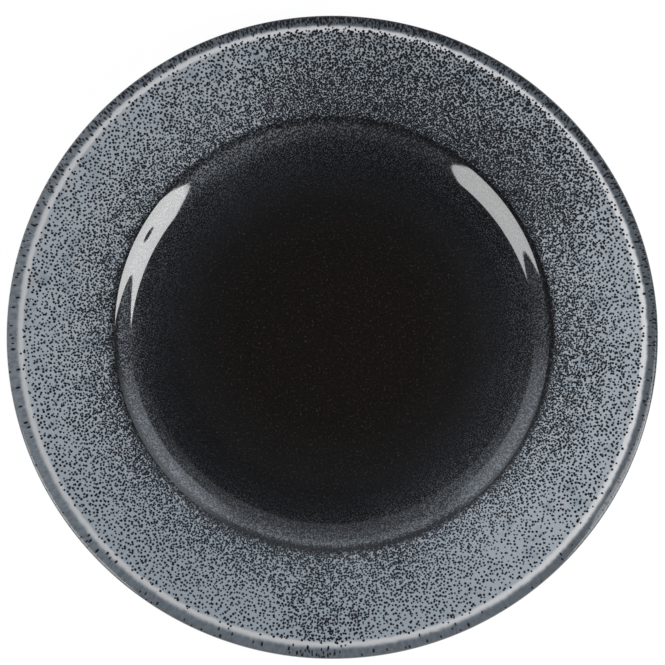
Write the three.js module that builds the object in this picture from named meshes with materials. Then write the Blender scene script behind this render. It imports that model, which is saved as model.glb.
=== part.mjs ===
// A rimmed dinner plate: a fired clay body under four coats of glaze.
// Millimetres, +Z up. The origin is on the axis of the plate, on the plane that it rests on.
// Every piece is a surface of revolution, and all of them come from one outline of the clay.

import * as THREE from "three";

// The clay body, before glazing
const wallFootRadius = 85.7; // the corner where the well's floor would meet its wall
const wallRun = 6.6; // from that corner out to the brow, where the wall begins to turn over
const wallRise = 5.6; // from the floor up to the brow
const browRun = 3; // from the brow out to the verge, where the rim begins
const browRise = 2; // from the brow up to the verge
const rimRun = 39.1; // from the verge out to the ridge of the lip
const rimRise = 5.5; // from the verge up to the ridge
const lipRun = 5.2; // from the ridge out to the edge of the plate
const lipDrop = 1.4; // from the ridge down to the nose of the lip
const lipHeight = 6.2; // from the ridge down to the underside of the lip
const lipWidth = 9; // from the edge in to where the lip runs into the rim's underside
const baseThickness = 5.4;
const wallThickness = 5;
const rimThickness = 4.4;
const recessDepth = 3.4; // from the resting plane up to the base inside the foot ring
const footInset = 1.7; // from the wall's foot in to the outside of the foot ring
const footWidth = 5;
const footRootHeight = 3.6; // where the outside of the foot ring runs into the underside
const footWipe = 1.2; // the foot ring is wiped bare up to this height

// Fillets of the clay
const floorFillet = 15;
const browFillet = 12;
const vergeFillet = 1.5;
const ridgeFillet = 4;
const noseFillet = 0.9;
const lipUnderFillet = 1.4;
const lipRootFillet = 8;
const underVergeFillet = 10;
const footRootFillet = 3;
const footFillet = 0.9;
const recessFillet = 2;

// Glaze: it runs thin over edges and pools in hollows
const floorCoat = 0.55; // on the well's floor and in the sweep up to its wall
const browCoat = 0.55;
const vergeCoat = 0.45;
const ridgeCoat = 0.2;
const lipCoat = 0.4; // where the coats of the face and the underside meet
const undersideCoat = 0.35;
const wipedCoat = 0.25; // at the wiped line on the foot ring
const wellCoat = 0.25; // the dark glaze over the pale one, in the well
const wellCoatEdge = 0.08;

// How finely the round forms are divided
const turnSteps = 48;
const chordSlack = 0.06; // the most that a chord may stand off its arc
const filletShare = 0.95; // the most of a line that the fillets at its ends may take

/** A corner of the clay's outline, with its fillet and the thickness of the glaze there. */
function corner(r, z, fillet = 0, coat = 0) {
  return { at: new THREE.Vector2(r, z), fillet, coat };
}

/** Where two lines meet, each given by a point on it and its direction. */
function crossing(p, pWay, q, qWay) {
  const reach = q.clone().sub(p).cross(qWay) / pWay.cross(qWay);
  return p.clone().addScaledVector(pWay, reach);
}

/** The direction a quarter turn clockwise: out of the clay, on an outline that runs round it anticlockwise. */
function outOf(way) {
  return new THREE.Vector2(way.y, -way.x);
}

/** How far a corner's fillet reaches along the two lines beside it. */
function filletReach(before, here, after) {
  const opening = before.at.clone().sub(here.at).angleTo(after.at.clone().sub(here.at));
  return here.fillet / Math.tan(opening / 2);
}

/** Replaces each filleted corner by points on its arc. Two fillets that share a short line divide it. */
function rounded(corners) {
  const last = corners.length - 1;
  const reach = corners.map((here, i) =>
    i === 0 || i === last ? 0 : filletReach(corners[i - 1], here, corners[i + 1]),
  );
  const fitted = (i, next) => {
    const room = corners[i].at.distanceTo(corners[next].at);
    return reach[i] * Math.min(1, (filletShare * room) / (reach[i] + reach[next]));
  };
  return corners.flatMap((here, i) => {
    if (here.fillet === 0) return [{ ...here, of: here }];
    return arcPoints(corners[i - 1], here, corners[i + 1], Math.min(fitted(i, i - 1), fitted(i, i + 1)));
  });
}

/** Points on the arc that touches both lines of a corner at a given reach from it. */
function arcPoints(before, here, after, reach) {
  const back = before.at.clone().sub(here.at).normalize();
  const on = after.at.clone().sub(here.at).normalize();
  const halfOpening = back.angleTo(on) / 2;
  const radius = reach * Math.tan(halfOpening);
  const centre = back.clone().add(on).setLength(radius / Math.sin(halfOpening)).add(here.at);
  const spoke = back.clone().multiplyScalar(reach).add(here.at).sub(centre);
  const sweep = Math.sign(on.cross(back)) * (Math.PI - 2 * halfOpening);
  const steps = Math.ceil(Math.abs(sweep) / (2 * Math.acos(1 - chordSlack / radius)));
  return Array.from({ length: steps + 1 }, (_, k) => ({
    at: spoke.clone().rotateAround(new THREE.Vector2(), (sweep * k) / steps).add(centre),
    coat: here.coat,
    of: here,
  }));
}

/** The outline of the clay, from the axis out along the underside, over the lip and back along the face. */
function clayCorners() {
  const floorHeight = recessDepth + baseThickness;
  const wallFoot = corner(wallFootRadius, floorHeight, floorFillet, floorCoat);
  const brow = corner(wallFoot.at.x + wallRun, wallFoot.at.y + wallRise, browFillet, browCoat);
  const verge = corner(brow.at.x + browRun, brow.at.y + browRise, vergeFillet, vergeCoat);
  const ridge = corner(verge.at.x + rimRun, verge.at.y + rimRise, ridgeFillet, ridgeCoat);
  const edgeRadius = ridge.at.x + lipRun;
  const nose = corner(edgeRadius, ridge.at.y - lipDrop, noseFillet, lipCoat);
  const lipUnder = corner(edgeRadius, ridge.at.y - lipHeight, lipUnderFillet, undersideCoat);
  const edge = corner(edgeRadius, (nose.at.y + lipUnder.at.y) / 2, 0, lipCoat);

  const wallWay = brow.at.clone().sub(wallFoot.at).normalize();
  const rimWay = ridge.at.clone().sub(verge.at).normalize();
  const underWall = brow.at.clone().addScaledVector(outOf(wallWay), wallThickness);
  const underRim = verge.at.clone().addScaledVector(outOf(rimWay), rimThickness);
  const underVergeAt = crossing(underRim, rimWay, underWall, wallWay);
  const lipRootLine = new THREE.Vector2(edgeRadius - lipWidth, 0);
  const lipRootAt = crossing(underRim, rimWay, lipRootLine, new THREE.Vector2(0, 1));
  const underVerge = corner(underVergeAt.x, underVergeAt.y, underVergeFillet, undersideCoat);
  const lipRoot = corner(lipRootAt.x, lipRootAt.y, lipRootFillet, undersideCoat);

  const footOuter = wallFootRadius - footInset;
  const footInner = footOuter - footWidth;
  const wipedInside = corner(footInner, footWipe, 0, wipedCoat);
  const wipedOutside = corner(footOuter, footWipe, 0, wipedCoat);
  const corners = [
    corner(0, recessDepth, 0, undersideCoat),
    corner(footInner, recessDepth, recessFillet, undersideCoat),
    wipedInside,
    corner(footInner, 0, footFillet),
    corner(footOuter, 0, footFillet),
    wipedOutside,
    corner(footOuter, footRootHeight, footRootFillet, undersideCoat),
    underVerge,
    lipRoot,
    lipUnder,
    edge,
    nose,
    ridge,
    verge,
    brow,
    wallFoot,
    corner(0, floorHeight, 0, floorCoat),
  ];
  return { corners, wipedInside, wipedOutside, edge, verge };
}

/** A stretch of outline, moved out of the surface by the thickness of the glaze at each point. */
function glazedSide(stretch, coatAt) {
  const ways = stretch.slice(1).map((point, i) => point.at.clone().sub(stretch[i].at).normalize());
  return stretch.map((point, i) => {
    const before = outOf(ways[Math.max(i - 1, 0)]);
    const after = outOf(ways[Math.min(i, ways.length - 1)]);
    const mitre = before.clone().add(after).normalize();
    const distance = coatAt(point, i) / mitre.dot(before);
    return { ...point, at: point.at.clone().addScaledVector(mitre, distance) };
  });
}

/** The closed outline of a coat, between a stretch of surface and its glazed side. */
function coatOutline(stretch, glazed) {
  const under = [...stretch].reverse();
  const outline = stretch[0].at.x === 0 ? [...glazed, ...under] : [...under, ...glazed];
  return outline[0].at.x === 0 ? outline : [...outline, outline[0]];
}

/** One piece of the plate: an outline turned round the axis. */
function turned(name, outline, color, roughness) {
  const geometry = new THREE.LatheGeometry(outline.map((point) => point.at), turnSteps);
  geometry.rotateX(Math.PI / 2);
  const mesh = new THREE.Mesh(geometry, new THREE.MeshStandardMaterial({ color, roughness, metalness: 0 }));
  mesh.name = name;
  return mesh;
}

const { corners, wipedInside, wipedOutside, edge, verge } = clayCorners();
const clay = rounded(corners);
const indexOf = (mark) => clay.findIndex((point) => point.of === mark);

const baseStretch = clay.slice(0, indexOf(wipedInside) + 1);
const undersideStretch = clay.slice(indexOf(wipedOutside), indexOf(edge) + 1);
const faceStretch = clay.slice(indexOf(edge));

const ownCoat = (point) => point.coat;
const faceTop = glazedSide(faceStretch, ownCoat);
const wellStretch = faceTop.slice(faceTop.findIndex((point) => point.of === verge));
const wellTop = glazedSide(wellStretch, (point, i) => (i === 0 ? wellCoatEdge : wellCoat));

const plate = new THREE.Group();
plate.add(
  turned("clay_body", clay, 0xd8d2c8, 0.8),
  turned("face_glaze", coatOutline(faceStretch, faceTop), 0x8d949b, 0.12),
  turned("well_glaze", coatOutline(wellStretch, wellTop), 0x191714, 0.1),
  turned("underside_glaze", coatOutline(undersideStretch, glazedSide(undersideStretch, ownCoat)), 0x99a0a7, 0.15),
  turned("base_glaze", coatOutline(baseStretch, glazedSide(baseStretch, ownCoat)), 0x99a0a7, 0.15),
);

export default plate;
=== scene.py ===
# %% [markdown]
# # A rimmed plate under four coats of glaze
#
# A stoneware dinner plate is one turned piece of clay. What makes it worth looking at is the glaze: a pale
# blue-grey coat over the face, a black one poured into the well, and a spray of black drops that is thick
# in the middle and thins out towards the lip. This lesson takes the plain solids of the plate and makes
# them look fired: it turns smooth pieces from the solids' own outlines, and then writes the glazes as
# procedural materials.

from math import ceil, cos, hypot, pi, radians, sin

import bmesh
import bpy
from mathutils import Matrix, Vector


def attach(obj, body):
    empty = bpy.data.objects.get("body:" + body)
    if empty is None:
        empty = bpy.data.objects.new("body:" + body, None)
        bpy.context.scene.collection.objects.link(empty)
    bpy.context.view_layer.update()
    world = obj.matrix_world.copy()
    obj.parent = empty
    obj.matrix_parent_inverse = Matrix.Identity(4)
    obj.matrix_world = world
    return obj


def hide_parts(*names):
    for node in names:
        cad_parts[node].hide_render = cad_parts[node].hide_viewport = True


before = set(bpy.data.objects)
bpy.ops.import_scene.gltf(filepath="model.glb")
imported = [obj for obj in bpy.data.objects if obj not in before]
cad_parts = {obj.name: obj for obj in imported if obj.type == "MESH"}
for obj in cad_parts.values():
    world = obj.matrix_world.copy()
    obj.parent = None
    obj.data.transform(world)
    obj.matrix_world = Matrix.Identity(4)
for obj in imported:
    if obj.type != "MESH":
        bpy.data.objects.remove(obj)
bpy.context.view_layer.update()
MM = 1000.0  # millimetres in a metre
print("solids:", ", ".join(sorted(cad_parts)))

# %% [markdown]
# ## Outlines out of the solids
#
# Every piece of the plate is a surface of revolution, so one half of its section says all there is to know
# about it. The solids are faceted, but one column of their corners lies exactly on the half-plane where y
# is 0 and x isn't negative. Keeping only that column gives back the outline, and the smooth pieces can't
# drift away from the solids that they stand for.

# %% Take the outline of a solid
TINY = 1e-6  # metres; closer corners are one corner


def half_section(node):
    """The outline of a turned solid, as loose edges on the half-plane x >= 0, y = 0."""
    bm = bmesh.new()
    bm.from_mesh(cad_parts[node].data)
    bmesh.ops.remove_doubles(bm, verts=bm.verts, dist=TINY)
    elsewhere = [v for v in bm.verts if abs(v.co.y) > TINY or v.co.x < -TINY]
    bmesh.ops.delete(bm, geom=elsewhere, context="VERTS")
    return bm


for name in sorted(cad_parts):
    outline = half_section(name)
    print(name, "outline:", len(outline.verts), "corners,", len(outline.edges), "edges")
    outline.free()

# %% [markdown]
# ## Turning a smooth piece
#
# A potter turns the clay on a wheel, and the script does the same: it spins the outline once round the
# axis. Long edges are cut first, so that the smoothing that follows keeps the straight runs straight and
# only rounds the facets. The Subdivision Surface modifier then gives an even curve for the gloss to run
# along, and the true corners, at the ends of a coat, are creased so that two coats still meet edge to edge.

# %% Cut an outline and spin it
SPIN_STEPS = 128
LONGEST = 0.003  # metres along the outline
TRUE_CORNER = radians(50)  # a sharper turn of the surface is a corner and no facet


def cut_long_edges(bm):
    """Cuts the edges of an outline into even lengths."""
    for edge in list(bm.edges):
        cuts = ceil(edge.calc_length() / LONGEST) - 1
        if cuts > 0:
            bmesh.ops.subdivide_edges(bm, edges=[edge], cuts=cuts)


def spin(bm):
    """Turns an outline into a closed surface with its true corners creased."""
    outline = bm.verts[:] + bm.edges[:]
    turn = {"cent": (0, 0, 0), "axis": (0, 0, 1), "angle": 2 * pi, "steps": SPIN_STEPS}
    bmesh.ops.spin(bm, geom=outline, **turn, use_merge=True)
    bmesh.ops.remove_doubles(bm, verts=bm.verts, dist=TINY)
    bmesh.ops.recalc_face_normals(bm, faces=bm.faces)
    crease = bm.edges.layers.float.new("crease_edge")
    for edge in bm.edges:
        if edge.calc_face_angle(0.0) > TRUE_CORNER:
            edge[crease] = 1.0
            edge.smooth = False
    for face in bm.faces:
        face.smooth = True


print("a full turn has", SPIN_STEPS, "steps, and an outline has no edge over", MM * LONGEST, "mm")

# %% [markdown]
# ## A map that is drawn along the outline
#
# The finished colours are meant to be baked to a square picture for each piece. Seen from above, a plate
# is already flat enough for that, except for its upright edge, which would get no room at all. So the map
# is a disc on which the distance from the middle is the distance walked along the outline. The side that
# lies on the clay never shows and gets a small corner.

# %% Walk along an outline
HIDDEN = -1.0  # marks a corner of the side that doesn't show


def walk(bm, shown):
    """The corners of an outline in order, from the middle of the side that shows."""
    on_axis = [v for v in bm.verts if v.co.x < TINY]
    if on_axis:
        here = max(on_axis, key=lambda v: shown * v.co.z)
    else:
        here = min(bm.verts, key=lambda v: (round(v.co.z, 5), -v.co.x))
    ahead = max(here.link_edges, key=lambda edge: edge.other_vert(here).co.x)
    corners = [here]
    while ahead and ahead.other_vert(here) is not corners[0]:
        here = ahead.other_vert(here)
        corners.append(here)
        ahead = next((edge for edge in here.link_edges if edge is not ahead), None)
    return corners


def measure_out(bm, shown):
    """Marks each corner of the side that shows with its distance from the axis along the outline."""
    layer = bm.verts.layers.float.new("out")
    corners = walk(bm, shown)
    widest = max(v.co.x for v in corners) - TINY
    last = max(i for i, v in enumerate(corners) if v.co.x >= widest)
    for vert in corners[last:]:
        vert[layer] = HIDDEN
    walked = corners[0].co.x
    corners[0][layer] = walked
    for before, vert in zip(corners[:last], corners[1 : last + 1]):
        walked += (vert.co - before.co).length
        vert[layer] = walked
    return walked


# %% Lay out the map
MAP_MIDDLE, MAP_FILL = 0.5, 0.49  # the middle and the reach of the disc, in widths of the map
HIDDEN_AT, HIDDEN_FILL = 0.04, 0.03  # the middle and the reach of the hidden side's corner


def lay_out_map(bm, reach):
    """Draws the shown side as a disc, and the hidden side small in a corner."""
    layer = bm.loops.layers.uv.new("OFBake")
    out = bm.verts.layers.float["out"]
    for face in bm.faces:
        on_show = all(vert[out] >= 0 for vert in face.verts)
        for loop in face.loops:
            vert = loop.vert
            radius = hypot(vert.co.x, vert.co.y)
            if on_show:
                middle, length = MAP_MIDDLE, MAP_FILL * vert[out]
            else:
                middle, length = HIDDEN_AT, HIDDEN_FILL * radius
            scale = length / reach / max(radius, TINY)
            loop[layer].uv = (middle + scale * vert.co.x, middle + scale * vert.co.y)


# %% [markdown]
# ## The five pieces
#
# A cut through the plate would show the clay and four coats of glaze, so there are five pieces. Each is
# turned from the outline of its own solid and takes that solid's place. A plate has nothing that moves, so
# all of them ride on one body.

# %% Turn the five pieces
SMOOTHINGS = 1


def turned_piece(name, node, shown=1):
    """One smooth piece of the plate, turned from the outline of its solid."""
    bm = half_section(node)
    cut_long_edges(bm)
    reach = measure_out(bm, shown)
    spin(bm)
    lay_out_map(bm, reach)
    mesh = bpy.data.meshes.new(name)
    bm.to_mesh(mesh)
    bm.free()
    piece = bpy.data.objects.new(name, mesh)
    bpy.context.scene.collection.objects.link(piece)
    smoother = piece.modifiers.new("smooth", "SUBSURF")
    smoother.levels = smoother.render_levels = SMOOTHINGS
    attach(piece, "root")
    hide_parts(node)
    print(name, "has", len(mesh.polygons), "faces before smoothing, and shows", round(MM * reach, 1), "mm")
    return piece


pieces = {
    "body": turned_piece("body", "clay_body", shown=-1),
    "face_coat": turned_piece("face_coat", "face_glaze"),
    "well_coat": turned_piece("well_coat", "well_glaze"),
    "underside_coat": turned_piece("underside_coat", "underside_glaze", shown=-1),
    "base_coat": turned_piece("base_coat", "base_glaze", shown=-1),
}

# %% [markdown]
# ## Small helpers for materials
#
# A material is a graph of nodes. These helpers add a node, feed its inputs and return the socket that comes
# out, so the cells below can read like formulas. An effect that more than one glaze needs becomes a node
# group, which is a graph with inputs and outputs of its own.

# %% Nodes that calculate
MEASURES = ("LENGTH", "DISTANCE", "DOT_PRODUCT")  # these give a number, and the others a vector


def feed(tree, socket, value):
    """Links an input to another node's output, or sets it to a plain value."""
    if isinstance(value, bpy.types.NodeSocket):
        tree.links.new(value, socket)
    else:
        socket.default_value = value


def add(tree, kind, inputs, **settings):
    """A new node with its settings made and its inputs fed."""
    node = tree.nodes.new(kind)
    for key, value in settings.items():
        setattr(node, key, value)
    for key, value in inputs.items():
        feed(tree, node.inputs[key], value)
    return node


def calc(tree, operation, a, b=0.0):
    """One step of arithmetic."""
    return add(tree, "ShaderNodeMath", {0: a, 1: b}, operation=operation).outputs[0]


def vector(tree, operation, a, b=(0.0, 0.0, 0.0)):
    """One step of arithmetic with vectors."""
    node = add(tree, "ShaderNodeVectorMath", {0: a, 1: b}, operation=operation)
    return node.outputs["Value" if operation in MEASURES else "Vector"]


def scaled(tree, a, factor):
    """A vector times a number."""
    return add(tree, "ShaderNodeVectorMath", {0: a, "Scale": factor}, operation="SCALE").outputs["Vector"]


def step(tree, value, low, high, to_low=0.0, to_high=1.0):
    """A soft step: to_low below low, to_high above high."""
    inputs = {"Value": value, "From Min": low, "From Max": high, "To Min": to_low, "To Max": to_high}
    return add(tree, "ShaderNodeMapRange", inputs, interpolation_type="SMOOTHSTEP").outputs["Result"]


# %% Nodes for colours, and groups
FLOAT, VECTOR = "NodeSocketFloat", "NodeSocketVector"


def ramp(tree, value, stops):
    """A run of colours or of grey values, as (place, colour) stops."""
    node = add(tree, "ShaderNodeValToRGB", {"Fac": value})
    elements = node.color_ramp.elements
    while len(elements) < len(stops):
        elements.new(1.0)
    for element, (place, colour) in zip(elements, stops):
        element.position = place
        element.color = (*colour, 1) if isinstance(colour, tuple) else (colour, colour, colour, 1)
    return node.outputs["Color"]


def blend(tree, share, a, b):
    """Colour a, giving way to colour b."""
    node = add(tree, "ShaderNodeMix", {"Factor": share}, data_type="RGBA")
    for key, value in (("A_Color", a), ("B_Color", b)):
        socket = next(s for s in node.inputs if s.identifier == key)
        feed(tree, socket, value if isinstance(value, bpy.types.NodeSocket) else (*value, 1))
    return next(s for s in node.outputs if s.identifier == "Result_Color")


def group_tree(name, inputs, outputs):
    """An empty shader node group with its sockets, and the nodes that stand for them."""
    tree = bpy.data.node_groups.new(name, "ShaderNodeTree")
    for side, sockets in (("INPUT", inputs), ("OUTPUT", outputs)):
        for label, kind in sockets.items():
            tree.interface.new_socket(label, in_out=side, socket_type=kind)
    return tree, tree.nodes.new("NodeGroupInput").outputs, tree.nodes.new("NodeGroupOutput").inputs


def use(tree, group, inputs):
    """A group at work in a material."""
    node = tree.nodes.new("ShaderNodeGroup")
    node.node_tree = group
    for key, value in inputs.items():
        feed(tree, node.inputs[key], value)
    return node.outputs


# %% [markdown]
# ## Where on the plate
#
# All the glazes are laid out round the axis, so the materials ask one thing over and over: where is this
# point, in millimetres, and how far is it from the axis? A node group answers it once for all of them. The
# radius runs on over the upright edge, as if the lip were folded out flat. The group also gives the point
# on the plane that the drops are scattered on. Outside the ridge that plane is squeezed, so there the drops
# come out longer down the lip than along it, as glaze that ran while it was hot.

# %% The place group
NEAR_AXIS = 0.01  # mm; a radius to divide by is never shorter
FOLD_TOP, FOLD_FROM, FOLD_TO = 21.2, 138.4, 139.6  # mm; the height and radii at which the lip turns down
RUN_FROM, RUN_SHARE = 134.6, 0.5  # mm; outside this radius the plane keeps this share of its length

place_group, _, out = group_tree("plate place", {}, {"Point": VECTOR, "Flat": VECTOR, "Radius": FLOAT})
tree = place_group
point = scaled(tree, add(tree, "ShaderNodeTexCoord", {}).outputs["Object"], MM)
across = vector(tree, "MULTIPLY", point, (1, 1, 0))
radius = vector(tree, "LENGTH", across)
height = add(tree, "ShaderNodeSeparateXYZ", {0: point}).outputs["Z"]
drop = calc(tree, "MAXIMUM", calc(tree, "SUBTRACT", FOLD_TOP, height), 0.0)
folded = calc(tree, "MULTIPLY", drop, step(tree, radius, FOLD_FROM, FOLD_TO))
unrolled = calc(tree, "ADD", radius, folded)
ran = calc(tree, "MAXIMUM", calc(tree, "SUBTRACT", unrolled, RUN_FROM), 0.0)
squeezed = calc(tree, "SUBTRACT", unrolled, calc(tree, "MULTIPLY", ran, 1 - RUN_SHARE))
stretch = calc(tree, "DIVIDE", squeezed, calc(tree, "MAXIMUM", radius, NEAR_AXIS))
feed(tree, out["Point"], point)
feed(tree, out["Flat"], scaled(tree, across, stretch))
feed(tree, out["Radius"], unrolled)
print("place group:", len(tree.nodes), "nodes")

# %% [markdown]
# ## Measuring on the plane
#
# Nothing on a plate that was glazed by hand is quite even. These helpers say how a pattern wanders, to
# which side a point lies, and how a colour or a value runs over the radius. The ridge of the lip isn't
# quite true to the edge of the plate: it sits a little to one side, and so does the bare line on it.

# %% Noise, sides and runs
REACH = 150.0  # mm; no folded-out radius is longer
NOISE_ROUGHNESS = 0.6
FINE_DETAIL = 3.0  # octaves of a noise that is broken up more finely
RIDGE_SHIFT = (0.45, 0.05, 0.0)  # mm; how far the ridge sits off the axis
SHIFTED = (115.0, 130.0)  # mm; the radii between which the shift sets in


def centred_noise(tree, at, size, depth=1.0, detail=2.0):
    """A noise about zero, with waves of a given size in mm."""
    inputs = {"Vector": at, "Scale": 1 / size, "Detail": detail, "Roughness": NOISE_ROUGHNESS}
    noise = add(tree, "ShaderNodeTexNoise", inputs).outputs[0]
    return calc(tree, "MULTIPLY", calc(tree, "SUBTRACT", noise, 0.5), depth)


def on_side(azimuth, radius=1.0):
    """A point of the plane, by its azimuth in degrees and its radius."""
    return (radius * cos(radians(azimuth)), radius * sin(radians(azimuth)), 0.0)


def outward_along(tree, flat, way):
    """How much of a given vector points straight out from the axis at a point of the plane."""
    return vector(tree, "DOT_PRODUCT", vector(tree, "NORMALIZE", flat), way)


def leaning(tree, flat, azimuth):
    """The cosine of the angle between a point's side of the plate and a side given in degrees."""
    return outward_along(tree, flat, on_side(azimuth))


def off_ridge(tree, flat, radius):
    """How much shorter the radius is when it is measured from the middle of the ridge, near the lip."""
    return calc(tree, "MULTIPLY", outward_along(tree, flat, RIDGE_SHIFT), step(tree, radius, *SHIFTED))


def along(tree, radius, stops):
    """A run of colours or of values over the radius, with its stops in mm."""
    return ramp(tree, calc(tree, "DIVIDE", radius, REACH), [(r / REACH, value) for r, value in stops])


# %% [markdown]
# ## The spray
#
# The black is sprayed on over the pale glaze, from the middle of the well outwards and more from one side.
# This group says how thick it lies at a point of the plane: 0 is none, and 1 closes the coat. It is a run
# over the radius, which is thickest in a line along the verge and leaves the ridge of the lip bare, times
# the lean to one side, a few clouds where the hand went over the same spot again or missed it, and a slow
# noise.

# %% The spray group
RIM_RUN = [  # mm, thickness
    (0, 0.6),
    (92.0, 0.6),
    (93.4, 0.9),
    (94.7, 0.95),
    (96.2, 0.64),
    (98.5, 0.49),
    (106, 0.45),
    (116, 0.385),
    (126, 0.35),
    (132.8, 0.36),
    (133.6, 0.03),
    (134.8, 0.03),
    (135.7, 0.28),
    (139.0, 0.3),
]
LEAN_TO, LEAN_FROM = 66, 0.6  # the side in degrees, and the cosine of the angle at which the lean begins
LEAN = (95.0, 128.0, 0.8, 1.55)  # from and to these radii in mm, the shares that it adds
LIP = (132.5, 134.8)  # mm; from here out the spray leans more
LIP_LEAN = (-0.7, 0.8, -0.65, 0.5)  # from and to these cosines of the angle, the shares that it adds there
CLOUDS = [  # azimuth in degrees, radius and size in mm, share that it adds
    (40, 108, 44, 0.15),
    (78, 130, 36, 0.35),
    (-8, 112, 36, 0.25),
    (-50, 112, 46, -0.38),
    (-92, 131, 30, 0.7),
    (122, 130, 30, 0.3),
    (172, 124, 44, -0.1),
]
DRIFT_SIZE, DRIFT = 20.0, 0.8  # mm; share that the noise adds or takes
WANDER_SIZE, WANDER = 2.6, 2.6  # mm; how finely and how far the run over the radius wanders

spray_group, given, out = group_tree("spray", {"Flat": VECTOR}, {"Thickness": FLOAT})
tree, flat = spray_group, given["Flat"]
radius = vector(tree, "LENGTH", flat)
radius = calc(tree, "SUBTRACT", radius, off_ridge(tree, flat, radius))
radius = calc(tree, "ADD", radius, centred_noise(tree, flat, WANDER_SIZE, WANDER))
cosine = leaning(tree, flat, LEAN_TO)
lean = calc(tree, "MULTIPLY", step(tree, cosine, LEAN_FROM, 1.0), step(tree, radius, *LEAN))
share = calc(tree, "ADD", 1.0, lean)
for azimuth, at, size, strength in CLOUDS:
    away = vector(tree, "DISTANCE", flat, on_side(azimuth, at))
    share = calc(tree, "ADD", share, step(tree, away, 0.0, size, strength, 0.0))
share = calc(tree, "ADD", share, centred_noise(tree, flat, DRIFT_SIZE, DRIFT, FINE_DETAIL))
lip_lean = calc(tree, "MULTIPLY", step(tree, radius, *LIP), step(tree, cosine, *LIP_LEAN))
share = calc(tree, "ADD", share, lip_lean)
feed(tree, out["Thickness"], calc(tree, "MULTIPLY", along(tree, radius, RIM_RUN), share))
print("spray group:", len(CLOUDS), "clouds,", len(tree.nodes), "nodes")

# %% [markdown]
# ## Drops of black glaze
#
# What lands is drops, and each one stays whole: it is there or it isn't. A Voronoi texture scatters points
# and tells for every spot which point is nearest, how far it is and where it lies. So the thickness of the
# spray is asked for at the drop's own point and not at the spot, and a drop is never cut by a change of
# thickness. A chance that belongs to the drop then decides whether it is there.
#
# On the rim the drops are fine and close near the well, and larger and further apart towards the lip. A
# texture has cells of one size, so the plane is turned inside out before the texture is asked: each point
# moves along its ray to the other side of a circle, as far in as it was out. Small shapes keep their form,
# but their size grows with the square of the radius. The same move brings a drop's own point back.

# %% Turn the plane inside out
TURN_AT = 95.0  # mm; on this circle the plane that is turned inside out keeps its scale
INSIDE_OUT, AS_IT_IS = 2.0, 0.0  # the power of the ratio by which a point moves


def turn_share(tree, at, power):
    """The number by which a point is multiplied to turn the plane inside out."""
    reach = calc(tree, "MAXIMUM", vector(tree, "LENGTH", at), NEAR_AXIS)
    return calc(tree, "POWER", calc(tree, "DIVIDE", TURN_AT, reach), power)


# %% The drops group
SOFT = 0.22  # mm; half the width of a drop's melted edge
SCATTER = 0.9  # 0 sets the drops in a square grid, and 1 scatters them most
GIRTHS = (0.78, 1.3)  # the girth of the smallest and of the largest drop, as shares of their layer's girth
THIN_GIRTH, MORE_GIRTH = 0.8, 0.3  # its share where the spray is thinnest, and what a thickness of 1 adds
GIRTH_GROWTH = 0.4  # outside the circle the drops grow with this power of the plane's scale
CROWDED = (0.4, 0.8)  # thickness; from here on finer drops push out the wider ones

sockets = {"Flat": VECTOR}
for label in ("Power", "Cell", "Girth", "First", "All", "Amount", "Left"):
    sockets[label] = FLOAT
drops_group, given, out = group_tree("drops", sockets, {"Cover": FLOAT})
tree = drops_group
shrink = turn_share(tree, given["Flat"], given["Power"])
cells = scaled(tree, given["Flat"], calc(tree, "DIVIDE", shrink, given["Cell"]))
inputs = {"Vector": cells, "Scale": 1.0, "Randomness": SCATTER}
scatter = add(tree, "ShaderNodeTexVoronoi", inputs, voronoi_dimensions="2D", feature="F1").outputs
away = calc(tree, "MULTIPLY", scatter["Distance"], calc(tree, "DIVIDE", given["Cell"], shrink))
centre = scaled(tree, scatter["Position"], given["Cell"])
centre = scaled(tree, centre, turn_share(tree, centre, given["Power"]))
chance = add(tree, "ShaderNodeSeparateColor", {0: scatter["Color"]}).outputs
thickness = use(tree, spray_group, {"Flat": centre})["Thickness"]
thickness = calc(tree, "MULTIPLY", thickness, given["Amount"])
inputs = {"Value": thickness, "From Min": given["First"], "From Max": given["All"]}
landed = add(tree, "ShaderNodeMapRange", inputs).outputs["Result"]
landed = calc(tree, "MULTIPLY", landed, step(tree, thickness, *CROWDED, 1.0, given["Left"]))
there = calc(tree, "GREATER_THAN", landed, chance["Red"])
girth = calc(tree, "MULTIPLY", given["Girth"], step(tree, chance["Green"], 0.0, 1.0, *GIRTHS))
fuller = calc(tree, "ADD", THIN_GIRTH, calc(tree, "MULTIPLY", thickness, MORE_GIRTH))
girth = calc(tree, "MULTIPLY", girth, fuller)
slower = calc(tree, "POWER", shrink, GIRTH_GROWTH)
girth = calc(tree, "DIVIDE", girth, calc(tree, "MAXIMUM", shrink, slower))
inner, outer = calc(tree, "SUBTRACT", girth, SOFT), calc(tree, "ADD", girth, SOFT)
inside = step(tree, away, inner, outer, 1.0, 0.0)
feed(tree, out["Cover"], calc(tree, "MULTIPLY", there, inside))
print("drops group:", len(tree.nodes), "nodes")

# %% [markdown]
# ## The skin of a glaze
#
# Fired glaze is glass, but it isn't a mirror: it keeps a trace of how it was laid on, and it is a little
# duller where it lies thin. A shared group gives a height for a Bump node, of a few thousandths of a
# millimetre, and a roughness. With it, one helper can start every material of the plate.

# %% The skin group
SKIN_SIZE, SKIN_DEPTH, SKIN_DETAIL = 7.0, 0.000004, 1.0  # mm, metres, octaves
PATCH_SIZE, PATCHES = 2.5, (0.3, 0.7)  # mm; the levels of the noise at which the glaze is glossy and dull

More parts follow.
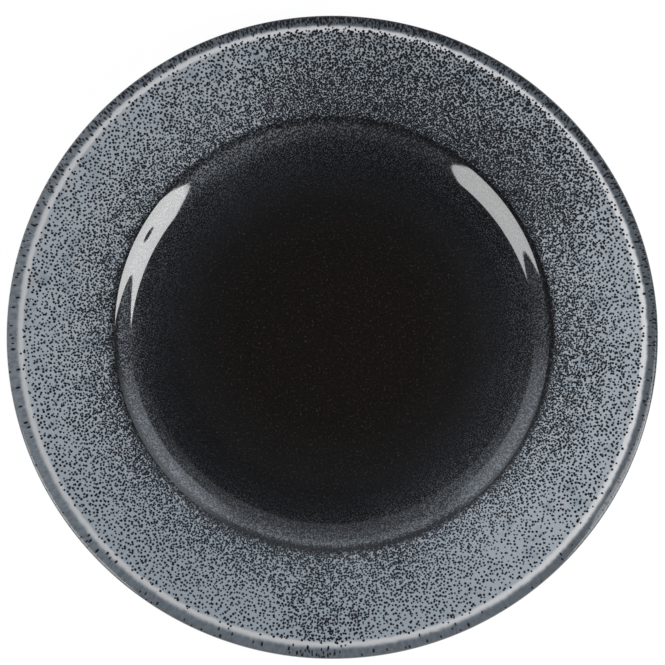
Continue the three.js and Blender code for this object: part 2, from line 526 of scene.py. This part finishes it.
inputs, outputs = {"Point": VECTOR, "Gloss": FLOAT, "Dull": FLOAT}, {"Height": FLOAT, "Roughness": FLOAT}
skin_group, given, out = group_tree("glaze skin", inputs, outputs)
tree = skin_group
waves = {"Vector": given["Point"], "Scale": 1 / SKIN_SIZE, "Detail": SKIN_DETAIL}
feed(tree, out["Height"], add(tree, "ShaderNodeTexNoise", waves).outputs[0])
patches = {"Vector": given["Point"], "Scale": 1 / PATCH_SIZE, "Detail": FINE_DETAIL}
patches = add(tree, "ShaderNodeTexNoise", patches).outputs[0]
feed(tree, out["Roughness"], step(tree, patches, *PATCHES, given["Gloss"], given["Dull"]))
print("skin group:", len(tree.nodes), "nodes")

# %% Start a glaze
GLASS_IOR = 1.5
GLASSY, DRY = 0.72, 0.2  # how much light a glaze throws back: as glass, and without its glassy coat


def glaze(name, gloss, dull):
    """A new material with a skin. Returns it, its tree, its Principled shader and where a point is."""
    material = bpy.data.materials.new(name)
    material.use_nodes = True
    tree = material.node_tree
    shader = tree.nodes["Principled BSDF"]
    shader.inputs["IOR"].default_value = GLASS_IOR
    shader.inputs["Specular IOR Level"].default_value = GLASSY
    here = use(tree, place_group, {})
    skin = use(tree, skin_group, {"Point": here["Point"], "Gloss": gloss, "Dull": dull})
    bump = add(tree, "ShaderNodeBump", {"Height": skin["Height"], "Strength": 1.0, "Distance": SKIN_DEPTH})
    feed(tree, shader.inputs["Normal"], bump.outputs[0])
    feed(tree, shader.inputs["Roughness"], skin["Roughness"])
    return material, tree, shader, here


# %% [markdown]
# ## Two helpers for the sprayed glazes
#
# The line along the verge belongs to two glazes, the pale one and the black one, and both are covered with
# drops. So both measure the radius from the middle of the verge, which sits a little off the axis, and let
# it wander. And both lay on drops in layers, each with a size and a reach of its own.

# %% Measure from the verge, and lay on drops
VERGE_SHIFT = (0.5, 0.4, 0.0)  # mm; how far the verge sits off the axis
VERGE_WANDER_SIZE, VERGE_WANDER = 1.3, 2.6  # mm; how finely and how far the line along it wanders


def off_verge(tree, here):
    """The radius in mm, measured from the middle of the verge and wandering a little."""
    radius = calc(tree, "SUBTRACT", here["Radius"], outward_along(tree, here["Flat"], VERGE_SHIFT))
    return calc(tree, "ADD", radius, centred_noise(tree, here["Flat"], VERGE_WANDER_SIZE, VERGE_WANDER))


def drops(tree, here, power, cell, girth, first, every, amount=1.0, left=1.0):
    """A layer of drops, sized in mm. None lands below one thickness of the spray, all do above another."""
    sizes = {"Power": power, "Cell": cell, "Girth": girth, "First": first, "All": every}
    shares = {"Amount": amount, "Left": left}
    return use(tree, drops_group, {"Flat": here["Flat"], **sizes, **shares})["Cover"]


# %% [markdown]
# ## The speckled glaze of the face
#
# The ground is a pale blue-grey glaze, cooler in patches and on one side. A dark mist of the spray lies
# between the drops near the well and where the spray is thick.

# %% The pale ground
PALE, COOL = (0.348, 0.377, 0.406), (0.228, 0.264, 0.3)
HALO, BLACK = (0.085, 0.1, 0.116), (0.012, 0.012, 0.013)
COOL_SIZE, COOL_PATCH = 9.0, (-0.05, 0.3)  # mm; the levels of the noise between which the glaze gets cooler
COOL_TO, COOL_SIDE = -105, (0.3, 1.0, 0.0, 0.6)  # degrees; from and to these cosines, how much cooler it is
NEAR_MIST = [(95.0, 0.45), (96.0, 0.05), (107.0, 0.0)]  # mm, share of the mist near the well
THICK_MIST = (0.6, 1.2, 0.0, 0.2)  # from and to these thicknesses of the spray, the share of the mist

speckled, tree, shader, here = glaze("speckled glaze", gloss=0.05, dull=0.09)
flat = here["Flat"]
cool = step(tree, centred_noise(tree, flat, COOL_SIZE), *COOL_PATCH)
cool = calc(tree, "MAXIMUM", cool, step(tree, leaning(tree, flat, COOL_TO), *COOL_SIDE))
thickness = use(tree, spray_group, {"Flat": flat})["Thickness"]
mist = along(tree, off_verge(tree, here), NEAR_MIST)
mist = calc(tree, "MAXIMUM", mist, step(tree, thickness, *THICK_MIST))
ground = blend(tree, mist, blend(tree, cool, PALE, COOL), HALO)
print("speckled glaze, ground:", len(tree.nodes), "nodes")

# %% [markdown]
# ### Its lip
#
# On the ridge of the lip the glaze runs thin and breaks almost white, most on one side. Outside it lies a
# deeper, mottled blue-grey. One run of colours over the radius gives the lip its order. Over it, painted
# shade darkens the outside of the lip on two sides, and painted light makes it paler on another.

# %% The lip
BREAK, BREAK_THIN = (0.48, 0.48, 0.485), (0.64, 0.64, 0.645)
LIP_BLUE, LIP_GREY, LIP_END = (0.122, 0.146, 0.174), (0.126, 0.141, 0.157), (0.06, 0.065, 0.07)
LIP_RUN = [  # mm, colour from the ridge to the edge and over it
    (132.2, BREAK),
    (134.5, BREAK),
    (136.2, LIP_BLUE),
    (138.4, LIP_GREY),
    (139.5, LIP_GREY),
    (140.8, LIP_END),
]
BREAKS = (132.4, 133.6)  # mm; where the pale glaze begins to break, and has broken
RING_ENDS = (134.5, 136.2)  # mm; where the pale ring begins to fade, and has faded
OUTSIDE = (134.8, 136.6)  # mm; where the outside of the lip begins, and is reached
RING_WANDER_SIZE, RING_WANDER = 4.5, 1.4  # mm; how finely and how far the ring wanders
RING_TO, RING_LESS = 40, (0.0, 0.9, 0.0, 1.0)  # degrees; from and to these cosines, the mm that it loses
THIN_TO = 60  # degrees; the side on which the glaze on the ridge is thinnest
# Painted shade: on these sides the outside of the lip is darkened towards black.
LIP_PAINTED_SHADES = [  # a darker side in degrees, the cosines where it begins and is full, the shares there
    (40, -0.35, 0.4, 0.0, 0.3),
    (-32, 0.3, 1.0, 0.0, 0.16),
]
# Painted light: on this side the outside of the lip is made paler.
PAINTED_LIGHT_TO, LIP_PAINTED_LIGHT = 162, (0.2, 1.0, 0.0, 0.3)  # the same for the paler side
MOTTLE_SIZE, MOTTLE = 1.6, (-0.12, 0.18, 0.0, 0.5)  # mm; from and to these levels of the noise, its shares
MOTTLED = (134.8, 136.2)  # mm; where the mottle begins, and is reached

lip_radius = calc(tree, "SUBTRACT", here["Radius"], off_ridge(tree, flat, here["Radius"]))
lip_radius = calc(tree, "ADD", lip_radius, centred_noise(tree, flat, RING_WANDER_SIZE, RING_WANDER))
lip_radius = calc(tree, "ADD", lip_radius, step(tree, leaning(tree, flat, RING_TO), *RING_LESS))
thin = step(tree, leaning(tree, flat, THIN_TO), -1.0, 1.0)
thin = calc(tree, "MULTIPLY", thin, step(tree, lip_radius, *RING_ENDS, 1.0, 0.0))
lip = blend(tree, thin, along(tree, lip_radius, LIP_RUN), BREAK_THIN)
outside = step(tree, lip_radius, *OUTSIDE)
# Painted shade: blends the outside of the lip towards black on the darker sides.
for azimuth, *shares in LIP_PAINTED_SHADES:
    shade = step(tree, leaning(tree, flat, azimuth), *shares)
    lip = blend(tree, calc(tree, "MULTIPLY", shade, outside), lip, BLACK)
# Painted light: blends the outside of the lip towards the pale glaze on the paler side.
light = step(tree, leaning(tree, flat, PAINTED_LIGHT_TO), *LIP_PAINTED_LIGHT)
lip = blend(tree, calc(tree, "MULTIPLY", light, outside), lip, PALE)
mottle = step(tree, centred_noise(tree, flat, MOTTLE_SIZE, detail=FINE_DETAIL), *MOTTLE)
lip = blend(tree, calc(tree, "MULTIPLY", mottle, step(tree, lip_radius, *MOTTLED)), lip, LIP_END)
ground = blend(tree, step(tree, lip_radius, *BREAKS), ground, lip)
print("speckled glaze, with the lip:", len(tree.nodes), "nodes")

# %% [markdown]
# ### Its drops
#
# The black drops are melted into that ground: one layer all over, which grows towards the lip, and a closer
# layer of fine ones that takes its place where the spray is thick. Outside the ridge they ran to streaks.
# Round each drop the two glazes mix to a dark blue-grey. The outside of the lip is drier, so the glassy
# coat of the shader stops at the ridge and comes back at the very edge, where the glaze gathers again.

# %% Drops on the face
HALO_COVER, BLACK_COVER = (0.0, 0.55), (0.4, 1.0)  # from the ground to the mixed glaze, and on to black
STREAKED = (134.6, 135.4)  # mm; where the streaks begin, and lie in full
LIP_GLASS = [(135.2, 1.0), (136.4, 0.0), (138.9, 0.0), (139.6, 0.75)]  # mm, weight of the glassy coat
COAT_ROUGHNESS = 0.06


def melted(tree, ground, cover):
    """A ground with drops of black glaze melted into it."""
    mixed = blend(tree, step(tree, cover, *HALO_COVER), ground, HALO)
    return blend(tree, step(tree, cover, *BLACK_COVER), mixed, BLACK)


wide = drops(tree, here, INSIDE_OUT, cell=0.91, girth=0.375, first=0.0, every=0.33, left=0.3)
fine = drops(tree, here, INSIDE_OUT, cell=0.62, girth=0.33, first=0.36, every=0.7)
amount = step(tree, lip_radius, *STREAKED)
streaks = drops(tree, here, AS_IT_IS, cell=0.95, girth=0.38, first=0.12, every=0.6, amount=amount)
cover = calc(tree, "MAXIMUM", calc(tree, "MAXIMUM", wide, fine), streaks)
feed(tree, shader.inputs["Base Color"], melted(tree, ground, cover))
feed(tree, shader.inputs["Coat Weight"], along(tree, here["Radius"], LIP_GLASS))
shader.inputs["Coat Roughness"].default_value = COAT_ROUGHNESS
shader.inputs["Specular IOR Level"].default_value = DRY
pieces["face_coat"].data.materials.append(speckled)
print("speckled glaze:", len(tree.nodes), "nodes")

# %% [markdown]
# ## The black glaze of the well
#
# In the middle of the well the black lies thick and closed, slightly brown. Towards the wall it gets
# thinner, and the pale glaze below comes through between the drops: first as a fine blue grain, and at the
# verge almost as pale as on the rim. So here the drops stay black and the ground between them changes with
# the radius. At the verge they crowd into a dark line, which is faint on the far side.

# %% Ground and drops of the well
FLOOR_BLACK, WALL_BLACK = (0.0056, 0.0037, 0.0021), (0.004, 0.004, 0.0044)
DEEP = (40.0, 80.0)  # mm; the radii between which the floor's black turns to the wall's
WELL_RUN = [  # mm, colour between the drops
    (0, (0.0072, 0.0056, 0.0042)),
    (40, (0.0085, 0.0075, 0.0068)),
    (58, (0.0145, 0.0147, 0.016)),
    (69, (0.033, 0.035, 0.0395)),
    (76, (0.055, 0.06, 0.068)),
    (82, (0.092, 0.102, 0.115)),
    (87, (0.108, 0.121, 0.137)),
    (92.2, (0.175, 0.196, 0.22)),
    (93.4, (0.06, 0.067, 0.076)),
    (94.5, (0.06, 0.067, 0.076)),
    (95.3, (0.21, 0.235, 0.26)),
]
WELL_SHADES = [  # a darker side in degrees, the cosine where it begins, its shares at radii in mm
    (52, 0.25, [(79, 0.0), (88, 0.6)]),
    (42, 0.5, [(66, 0.0), (76, 0.4), (84, 0.0)]),
    (-120, 0.2, [(58, 0.0), (68, 0.65), (79, 0.6), (83, 0.3), (88, 0.2)]),
    (152, 0.9, [(74, 0.0), (88, 0.5)]),
]
CROWD = [  # mm, amount of the finer drops
    (83, 1.0),
    (88, 0.12),
    (92.4, 0.12),
    (93.2, 1.0),
    (94.6, 1.0),
    (95.3, 0.4),
]
FAINT = (0.1, 0.112, 0.127)
FAINT_TO, FAINT_FROM = 98, 0.3  # the side in degrees on which the line is faint, the cosine where it begins
FAINT_LINE = [(92.2, 0.0), (93.2, 0.75), (94.7, 0.75), (95.3, 0.0)]  # mm, how faint it is

black, tree, shader, here = glaze("black glaze", gloss=0.04, dull=0.07)
flat = here["Flat"]
verge_radius = off_verge(tree, here)
ground = along(tree, verge_radius, WELL_RUN)
for azimuth, begins, shares in WELL_SHADES:
    shade = step(tree, leaning(tree, flat, azimuth), begins, 1.0)
    shade = calc(tree, "MULTIPLY", shade, along(tree, here["Radius"], shares))
    ground = blend(tree, shade, ground, WALL_BLACK)
faint = step(tree, leaning(tree, flat, FAINT_TO), FAINT_FROM, 1.0)
faint = calc(tree, "MULTIPLY", faint, along(tree, verge_radius, FAINT_LINE))
ground = blend(tree, faint, ground, FAINT)
crowd = along(tree, verge_radius, CROWD)
crowd = calc(tree, "MULTIPLY", crowd, calc(tree, "SUBTRACT", 1.0, faint))
cover = drops(tree, here, INSIDE_OUT, cell=0.91, girth=0.41, first=0.0, every=0.62)
grain = drops(tree, here, INSIDE_OUT, cell=0.84, girth=0.4, first=0.0, every=0.62, amount=crowd)
deep = blend(tree, step(tree, here["Radius"], *DEEP), FLOOR_BLACK, WALL_BLACK)
colour = blend(tree, calc(tree, "MAXIMUM", cover, grain), ground, deep)
print("black glaze, ground and drops:", len(tree.nodes), "nodes")

# %% [markdown]
# ### Its flecks and its dent
#
# Fine crystals of the glaze fleck the well all over. In one place the glaze sank a little before it set: a
# dent of a fifth of a millimetre, which shows only as a dark spot where a light is mirrored in it, so a
# Bump node is enough.

# %% Flecks and the dent
FLECK = (0.04, 0.038, 0.039)
FLECK_SIZE, FLECKS = 1.0, (0.1, 0.22, 0.0, 0.8)  # mm; from and to these levels of the noise, their shares
DUST_SIZE, DUST = 0.7, (0.0, 0.25, 0.0, 0.4)  # the same for the finer dust
DENT_SIDE, DENT_RADIUS, DENT_DEPTH = 152.2, 89.6, 0.0002  # degrees, mm, metres
DENT = {  # longer round the wall than up it
    "Location": on_side(DENT_SIDE, DENT_RADIUS),
    "Rotation": (0.0, 0.0, radians(DENT_SIDE)),
    "Scale": (3.0, 9.0, 1.0),
}

colour = blend(tree, step(tree, centred_noise(tree, flat, DUST_SIZE), *DUST), colour, FLECK)
colour = blend(tree, step(tree, centred_noise(tree, flat, FLECK_SIZE), *FLECKS), colour, FLECK)
feed(tree, shader.inputs["Base Color"], colour)
away = add(tree, "ShaderNodeMapping", {"Vector": flat, **DENT}, vector_type="TEXTURE").outputs[0]
sunk = step(tree, vector(tree, "LENGTH", away), 0.0, 1.0, -1.0, 0.0)
skin = shader.inputs["Normal"].links[0].from_socket
dent = {"Height": sunk, "Strength": 1.0, "Distance": DENT_DEPTH, "Normal": skin}
feed(tree, shader.inputs["Normal"], add(tree, "ShaderNodeBump", dent).outputs[0])
pieces["well_coat"].data.materials.append(black)
print("black glaze:", len(tree.nodes), "nodes")

# %% [markdown]
# ## The grey glaze of the underside
#
# The underside gets the pale glaze alone. Round the edge the dark glaze of the lip runs on over it, and a
# little of the spray drifted under it and left stray drops.

# %% Grey glaze
UNDER, UNDER_COOL = (0.3, 0.325, 0.35), (0.25, 0.285, 0.32)
UNDER_SIZE, UNDER_PATCH = 12.0, (-0.15, 0.3)  # mm; the levels of the noise between which it gets cooler
EDGE_WANDER_SIZE, EDGE_WANDER = 5.0, 5.0  # mm; how finely and how far the end of the lip's glaze wanders
EDGE_GREY, EDGE_END = (131.0, 139.0), (138.0, 142.0)  # mm; where the lip's grey and its edge's grey set in
STRAY, STRAY_END = (96.0, 128.0), (134.0, 137.0, 0.7, 0.0)  # mm; where the stray drops set in, and their end

under, tree, shader, here = glaze("grey glaze", gloss=0.09, dull=0.16)
point, radius = here["Point"], here["Radius"]
cool = step(tree, centred_noise(tree, point, UNDER_SIZE, detail=FINE_DETAIL), *UNDER_PATCH)
ground = blend(tree, cool, UNDER, UNDER_COOL)
edge = calc(tree, "ADD", radius, centred_noise(tree, point, EDGE_WANDER_SIZE, EDGE_WANDER))
ground = blend(tree, step(tree, edge, *EDGE_GREY), ground, LIP_GREY)
ground = blend(tree, step(tree, edge, *EDGE_END), ground, LIP_END)
stray = calc(tree, "MULTIPLY", step(tree, radius, *STRAY), step(tree, radius, *STRAY_END))
cover = drops(tree, here, AS_IT_IS, cell=1.7, girth=0.38, first=0.0, every=0.62, amount=stray)
feed(tree, shader.inputs["Base Color"], melted(tree, ground, cover))
for name in ("underside_coat", "base_coat"):
    pieces[name].data.materials.append(under)
print("grey glaze:", len(tree.nodes), "nodes")

# %% [markdown]
# ## Bare clay
#
# The foot ring is wiped clean so that the plate doesn't stick to the kiln shelf. There the fired clay
# shows, fine and matt, with the lines of the turning tool. The lines are a noise over the radius alone.

# %% Clay
CLAY, CLAY_DARK = (0.62, 0.56, 0.48), (0.52, 0.45, 0.37)
CLAY_SHINE = 0.3
GRAIN_SIZE = 0.55  # mm
TOOL_LINES = {"Scale": 2.2, "Detail": 2.0}  # about so many lines to a millimetre, octaves
LINE_SHARE = 0.6  # how much the lines count beside the grain
DARKER = (0.1, 0.6)  # the levels of both between which the clay gets darker

clay, tree, shader, here = glaze("bare clay", gloss=0.68, dull=0.85)
shader.inputs["Specular IOR Level"].default_value = CLAY_SHINE
grain = centred_noise(tree, here["Point"], GRAIN_SIZE, detail=FINE_DETAIL)
inputs = {"W": here["Radius"], **TOOL_LINES}
lines = add(tree, "ShaderNodeTexNoise", inputs, noise_dimensions="1D").outputs[0]
mottle = calc(tree, "ADD", grain, calc(tree, "MULTIPLY", lines, LINE_SHARE))
feed(tree, shader.inputs["Base Color"], blend(tree, step(tree, mottle, *DARKER), CLAY, CLAY_DARK))
pieces["body"].data.materials.append(clay)
print("materials:", ", ".join(sorted(material.name for material in bpy.data.materials if material.users)))

# %% [markdown]
# ## The table
#
# The plate stands on a white table. For the camera, and where the glaze mirrors it, the table glows almost
# evenly white, and a small rest is lit like any surface, so that the plate's shadow still lies on it. On
# the plate itself it throws back no more light than white paint would.

# %% Table
TABLE_REACH = 3.0  # metres from the middle to an edge
TABLE_PAINT, TABLE_GLOW = (0.82, 0.82, 0.82, 1), {"Color": (1, 1, 1, 1), "Strength": 1.045}
GLOW_SHARE = 0.92  # the rest lets the shadow show

table_mesh = bpy.data.meshes.new("table")
bm = bmesh.new()
bmesh.ops.create_grid(bm, x_segments=1, y_segments=1, size=TABLE_REACH)
bm.to_mesh(table_mesh)
bm.free()
table = bpy.data.objects.new("table", table_mesh)
bpy.context.scene.collection.objects.link(table)
white = bpy.data.materials.new("white table")
white.use_nodes = True
tree = white.node_tree
tree.nodes.clear()
lit = add(tree, "ShaderNodeBsdfDiffuse", {"Color": TABLE_PAINT}).outputs[0]
glow = add(tree, "ShaderNodeEmission", TABLE_GLOW).outputs[0]
paths = add(tree, "ShaderNodeLightPath", {}).outputs
seen = calc(tree, "MAXIMUM", paths["Is Camera Ray"], paths["Is Glossy Ray"])
seen = calc(tree, "MULTIPLY", seen, GLOW_SHARE)
mixed = add(tree, "ShaderNodeMixShader", {0: seen, 1: lit, 2: glow}).outputs[0]
add(tree, "ShaderNodeOutputMaterial", {"Surface": mixed})
table_mesh.materials.append(white)
print("table:", 2 * TABLE_REACH, "m wide")

# %% [markdown]
# ## Softboxes
#
# Two softboxes stand in front of the plate, left and right, and draw the bright streaks on the far walls of
# the well. Rectangular area lights are mirrored with the crisp edges that the streaks have, so their size,
# height and roll are what give a streak its length and its ends.

# %% Softboxes
SOFTBOXES = {  # azimuth, elevation, distance in m, width and height in m, roll in degrees, radiance
    "softbox right": (-16.0, 35, 0.8, 0.42, 0.48, -30, 9.1),
    "softbox left": (-151.8, 31, 1.0, 0.555, 0.5, 24, 6.4),
}


def softbox(name, azimuth, elevation, distance, width, height, roll, radiance):
    """A rectangular light that faces the plate."""
    light = bpy.data.lights.new(name, "AREA")
    light.shape = "RECTANGLE"
    light.size, light.size_y = width, height
    light.energy = radiance * pi * width * height
    lamp = bpy.data.objects.new(name, light)
    bpy.context.scene.collection.objects.link(lamp)
    a, e = radians(azimuth), radians(elevation)
    way = Vector((cos(a) * cos(e), sin(a) * cos(e), sin(e)))
    lamp.matrix_world = (
        Matrix.Translation(way * distance)
        @ way.to_track_quat("Z", "Y").to_matrix().to_4x4()
        @ Matrix.Rotation(radians(roll), 4, "Z")
    )
    print(name, "gives", round(light.energy, 2), "W")


for name, values in SOFTBOXES.items():
    softbox(name, *values)

# %% [markdown]
# ## The room
#
# Overhead it is dark, so the well stays black. The room behind the plate is paler: a panel on either side
# draws the soft bands on the near wall, and the wall behind lifts the foot between them. All of it is
# painted into the world by its direction, so the plate is lit by it and mirrors it, while the camera sees
# plain white.

# %% Surroundings
SKY = [  # sine of the height, radiance
    (0.0, 1.0),
    (0.08, 0.8),
    (0.2, 0.2),
    (0.5, 0.14),
    (0.85, 0.05),
    (1.0, 0.03),
]
PANELS = [  # azimuth, cosines of the angles where it ends and is full, sines of its top's heights, radiance
    (43, (0.89, 1.0), (0.49, 0.55), 1.1),
    (143, (0.89, 1.0), (0.49, 0.55), 0.9),
    (97, (0.45, 0.85), (0.92, 0.95), 0.28),
]
ROOM, WHITE = (0.93, 1.0, 1.09), (1.0, 1.0, 1.0)

world = bpy.data.worlds.new("studio")
bpy.context.scene.world = world
world.use_nodes = True
tree = world.node_tree
tree.nodes.clear()
way = add(tree, "ShaderNodeTexCoord", {}).outputs["Generated"]
level = vector(tree, "MULTIPLY", way, (1, 1, 0))
height = add(tree, "ShaderNodeSeparateXYZ", {0: way}).outputs["Z"]
light = ramp(tree, height, SKY)
for azimuth, sides, top, radiance in PANELS:
    beside = step(tree, leaning(tree, level, azimuth), *sides)
    below = step(tree, height, *top, radiance, 0.0)
    light = calc(tree, "ADD", light, calc(tree, "MULTIPLY", beside, below))
seen = add(tree, "ShaderNodeLightPath", {}).outputs["Is Camera Ray"]
sky = {"Color": blend(tree, seen, ROOM, WHITE), "Strength": calc(tree, "MAXIMUM", light, seen)}
background = add(tree, "ShaderNodeBackground", sky)
add(tree, "ShaderNodeOutputWorld", {"Surface": background.outputs[0]})
print("room:", len(PANELS), "panels,", len(tree.nodes), "nodes")

# %% [markdown]
# ## Camera
#
# The photograph looks almost straight down: the outline of the plate is an ellipse 1.2 % flatter than wide,
# which is a camera 9 degrees off the vertical. The distance and the lens are chosen so that the rings of
# the edge, the ridge and the verge come out where they are in the photograph.

# %% Camera
CAMERA_TILT, CAMERA_DISTANCE, CAMERA_LENS = 9.22, 1.25, 157.2  # degrees off the vertical, m, mm
SENSOR = 36.0  # mm
AIM = Vector((0.0001, 0.0, 0.017))

lens = bpy.data.cameras.new("camera")
lens.sensor_width, lens.lens = SENSOR, CAMERA_LENS
camera = bpy.data.objects.new("camera", lens)
bpy.context.scene.collection.objects.link(camera)
tilt = radians(CAMERA_TILT)
camera.location = AIM + CAMERA_DISTANCE * Vector((0, -sin(tilt), cos(tilt)))
camera.rotation_euler = (tilt, 0, 0)
bpy.context.scene.camera = camera
bpy.context.scene.view_settings.view_transform = "Standard"
print("camera at", [round(place, 3) for place in camera.location], "m")
